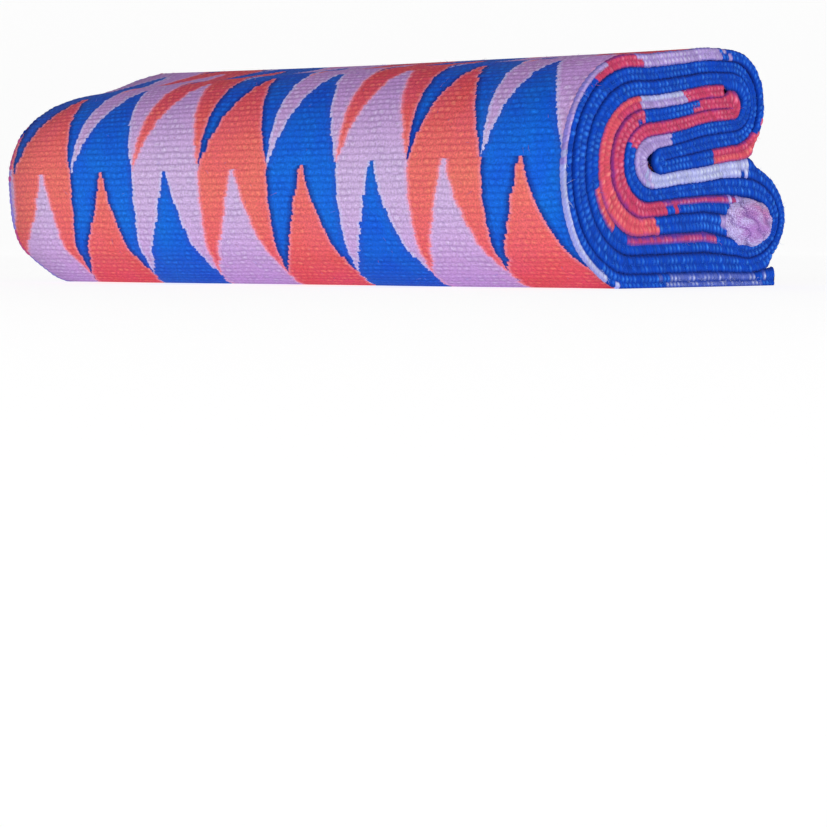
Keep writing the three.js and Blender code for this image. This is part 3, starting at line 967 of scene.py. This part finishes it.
    # the rim: 1 at a change of colour and 0 from its width on, and which yarn lies beyond the change
    toFlame = add("ABSOLUTE", [add("SUBTRACT", [sideways, half])])
    toColumn = add("SUBTRACT", [0.5, sideways])
    border = add("MULTIPLY", [add("MINIMUM", [toFlame, toColumn]), pattern["column"] / pattern["rim"]])
    closer = add("MULTIPLY_ADD", [isBlue, -weave["blueWide"], 1.0])
    border = add("MINIMUM", [add("MULTIPLY", [border, closer]), 1.0])
    rim = add("SUBTRACT", [1.0, border])
    onRight = add("GREATER_THAN", [offMiddle, 0.0])
    nearColumn = add("MULTIPLY", [add("LESS_THAN", [toColumn, toFlame]), onRight])
    isNext = add("MAXIMUM", [inside, nearColumn])
    rimTone = add("MixRGB", [isNext, besideLast, besideNext])
    rimShare = add("MULTIPLY", [rim, add("MULTIPLY_ADD", [isBlue, weave["blueRim"], weave["rim"]])])

    # beads: one to a float, moved by half from pick to pick, and round both ways by 1 - (2 x side)^2
    isOdd = add("FLOORED_MODULO", [pick, 2.0])
    slide = add("MULTIPLY_ADD", [isOdd, 0.5, add("MULTIPLY", [jag, weave["slide"]])])
    floats = add("DIVIDE", [across, pattern["bead"]])
    floats = add("MULTIPLY_ADD", [noises["floats"], weave["uneven"], floats])
    beadAt = add("ADD", [slide, floats])
    bead = add("FLOOR", [beadAt])
    beadSide = add("SUBTRACT", [add("FRACT", [beadAt]), 0.5])
    rounds = []
    for side in (beadSide, pickSide):
        squared = add("MULTIPLY", [side, side])
        rounds.append(add("MULTIPLY_ADD", [squared, -4.0, 1.0]))
    runningOn = add("MULTIPLY_ADD", [rounds[0], 1 - weave["flat"], weave["flat"]])
    crown = add("MULTIPLY", [runningOn, rounds[1]])
    beadSeed = add("CombineXYZ", [bead, pick, 0.0])
    chance = add("TexWhiteNoise", [beadSeed], noise_dimensions="2D")

    # painted highlight on top of the beads by chance, painted shade in the grooves by fibres and chance
    top = add("MULTIPLY", [add("POWER", [crown, weave["litPower"]]), rounds[0]])
    litBy = add("POWER", [chance, weave["chancePower"]])
    litBy = add("MULTIPLY_ADD", [litBy, weave["litMore"], weave["lit"]])
    litShare = add("MULTIPLY", [top, litBy])
    grooveShadeBy = add("MULTIPLY_ADD", [fibres, weave["grooveFibres"], weave["groove"]])
    grooveShadeBy = add("MULTIPLY_ADD", [chance, weave["grooveMore"], grooveShadeBy])
    grooveShadeShare = add("MULTIPLY", [add("SUBTRACT", [1.0, crown]), grooveShadeBy])
    # painted highlight where the bend meets the light, as the mesh carries it
    paintedHighlight = add("Attribute", attribute_name="paintedHighlight").node.outputs["Fac"]
    paintedHighlightShare = add("MULTIPLY", [paintedHighlight, weave["paintedHighlight"]])
    for share, tone in ((paintedHighlightShare, light), (litShare, light), (grooveShadeShare, grooveShade), (rimShare, rimTone)):
        body = add("MixRGB", [share, body, tone])
    value = add("MULTIPLY_ADD", [jag, weave["valuePick"], weave["value"]])
    value = add("MULTIPLY_ADD", [fibres, weave["valueFibres"], value])
    hue = add("MULTIPLY_ADD", [noises["dye"], weave["dye"], weave["hue"]])
    body = add("HueSaturation", {"Hue": hue, "Value": value, "Color": body})
    height = add("MULTIPLY", [crown, weave["beadHeight"]])
    height = add("MULTIPLY_ADD", [fibres, weave["fibreHeight"], height])
    finish(add, body, height, weave["relief"])
    return material


plied = {
    "girth": 4.0,           # round an edge
    "fibres": 3.5,          # to a mm, again coarser than real ones
    "line": 0.5712,         # one slanted line to the next, where a wave of scale 1 repeats each 2 pi / 10
    "value": 0.48,          # brightness, then what fibres and lines add to it
    "valueFibres": 0.9,
    "valueLines": 0.12,
    "lineHeight": 0.4,      # shares of the relief
    "fibreHeight": 0.7,
    "relief": 0.1,          # depth of the relief
}


def selvageYarn():
    # The same yarns where the weft turns over the edge: plied, so that fine slanted lines show in each bead
    material, add = newMaterial("plied cotton weft")
    tint = add("Attribute", attribute_name="yarn")
    uv = add("UVMap", uv_map="cloth")
    mms = add("VectorMath", [uv, (plied["girth"], fold["width"], 0.0)], operation="MULTIPLY")
    scaled = {"Vector": mms, "Scale": plied["fibres"], "Detail": 4.0, "Roughness": 0.75}
    fibres = add("TexNoise", scaled)
    scaled = {"Vector": mms, "Scale": 2 * math.pi / 10 / plied["line"], "Distortion": 2.0, "Detail": 2.0}
    lines = add("TexWave", scaled, bands_direction="DIAGONAL").node.outputs["Fac"]
    value = add("MULTIPLY_ADD", [lines, plied["valueLines"], plied["value"]])
    value = add("MULTIPLY_ADD", [fibres, plied["valueFibres"], value])
    body = add("HueSaturation", {"Value": value, "Color": tint})
    height = add("MULTIPLY", [lines, plied["lineHeight"]])
    height = add("MULTIPLY_ADD", [fibres, plied["fibreHeight"], height])
    finish(add, body, height, plied["relief"])
    return material


sheet = clothSheet()
extras = [selvageEdge("right_selvage", 1), selvageEdge("left_selvage", -1), turnedCorner(), strayFibres()]
sheet.data.materials.append(wovenCotton())
edgeMaterial = selvageYarn()
for piece in extras:
    piece.data.materials.append(edgeMaterial)
for piece in [sheet] + extras:
    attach(piece, "root")
    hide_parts("kente_cloth")
print("cloth made")


# Studio

studio = {
    "floorRadius": 1500.0,
    "curveRadius": 700.0,
    "rings": 48,
    "around": 96,
    "closer": 1.5,          # how much closer the floor's rings lie towards the middle
    "paint": "#9C9C9C",
    "glow": 0.79,           # the paint is lit from everywhere, so a little glow stands in for a larger room
    "world": 0.35,
    "camera": (254.4, -295.6, 5.8),
    "azimuth": 40.0,
    "down": 3.8,            # degrees below the horizon
    "focal": 2520.0,        # in pixels of the photograph
    "photoWidth": 827.0,
    "sensor": 36.0,
    "sight": (5.0, 20000.0),
}

# Name, place, what it is turned to, width and height, and power
softboxes = [
    ("key", (330, -820, 210), (0, 0, 15), (600, 260), 2.0),
    ("side", (850, -250, 150), (30, 0, 15), (400, 260), 1.0),
]


def studioBowl():
    # a disc that turns up into a wall: radius out to floorRadius, then a quarter of a circle
    flat = np.linspace(0, 1, studio["rings"] // 2)[1:] ** studio["closer"] * studio["floorRadius"]
    bend = np.linspace(0, np.pi / 2, studio["rings"] // 2)[1:]
    radius = np.r_[flat, studio["floorRadius"] + studio["curveRadius"] * np.sin(bend)][:, None]
    height = np.r_[0 * flat, studio["curveRadius"] * (1 - np.cos(bend))][:, None]
    around = np.linspace(0, 2 * np.pi, studio["around"], endpoint=False)
    points = np.stack([radius * np.cos(around), radius * np.sin(around), height + 0 * around], -1)
    quads = np.vstack([gridQuads(len(radius), len(around), ring=True), ringCap(len(around))])
    mesh = bpy.data.meshes.new("studio_bowl")
    mesh.from_pydata((points.reshape(-1, 3) * mm).tolist(), [], quads.tolist())
    mesh.polygons.foreach_set("use_smooth", np.ones(len(mesh.polygons), bool))
    bowl = bpy.data.objects.new("studio_bowl", mesh)
    bpy.context.scene.collection.objects.link(bowl)
    material, add = newMaterial("matt white paint")
    shader = add("BsdfPrincipled", {
        "Base Color": rgba(studio["paint"]), "Roughness": 0.9, "Specular IOR Level": 0.1,
        "Emission Color": (1, 1, 1, 1), "Emission Strength": studio["glow"],
    })
    add("OutputMaterial", [shader])
    mesh.materials.append(material)
    return bowl


def softbox(name, place, aim, size, power):
    # a rectangle of light that faces the way from its place to its aim
    light = bpy.data.lights.new(name, "AREA")
    light.shape, light.size, light.size_y = "RECTANGLE", size[0] * mm, size[1] * mm
    light.energy = power
    lamp = bpy.data.objects.new(name, light)
    bpy.context.scene.collection.objects.link(lamp)
    lamp.location = np.array(place) * mm
    x, y, z = (float(a - p) for a, p in zip(aim, place))
    lamp.rotation_euler = (math.atan2(math.hypot(x, y), -z), 0, math.atan2(-x, y))


studioBowl()
for settings in softboxes:
    softbox(*settings)

world = bpy.data.worlds.new("studio")
bpy.context.scene.world = world
world.use_nodes = True
world.node_tree.nodes["Background"].inputs["Color"].default_value = (1, 1, 1, 1)
world.node_tree.nodes["Background"].inputs["Strength"].default_value = studio["world"]

lens = bpy.data.cameras.new("camera")
lens.sensor_width = studio["sensor"]
lens.lens = studio["focal"] / studio["photoWidth"] * studio["sensor"]
lens.clip_start, lens.clip_end = (distance * mm for distance in studio["sight"])
camera = bpy.data.objects.new("camera", lens)
bpy.context.scene.collection.objects.link(camera)
camera.location = np.array(studio["camera"]) * mm
camera.rotation_euler = (math.radians(90 - studio["down"]), 0, math.radians(studio["azimuth"]))
bpy.context.scene.camera = camera
bpy.context.scene.view_settings.view_transform = "Standard"
print("studio made")
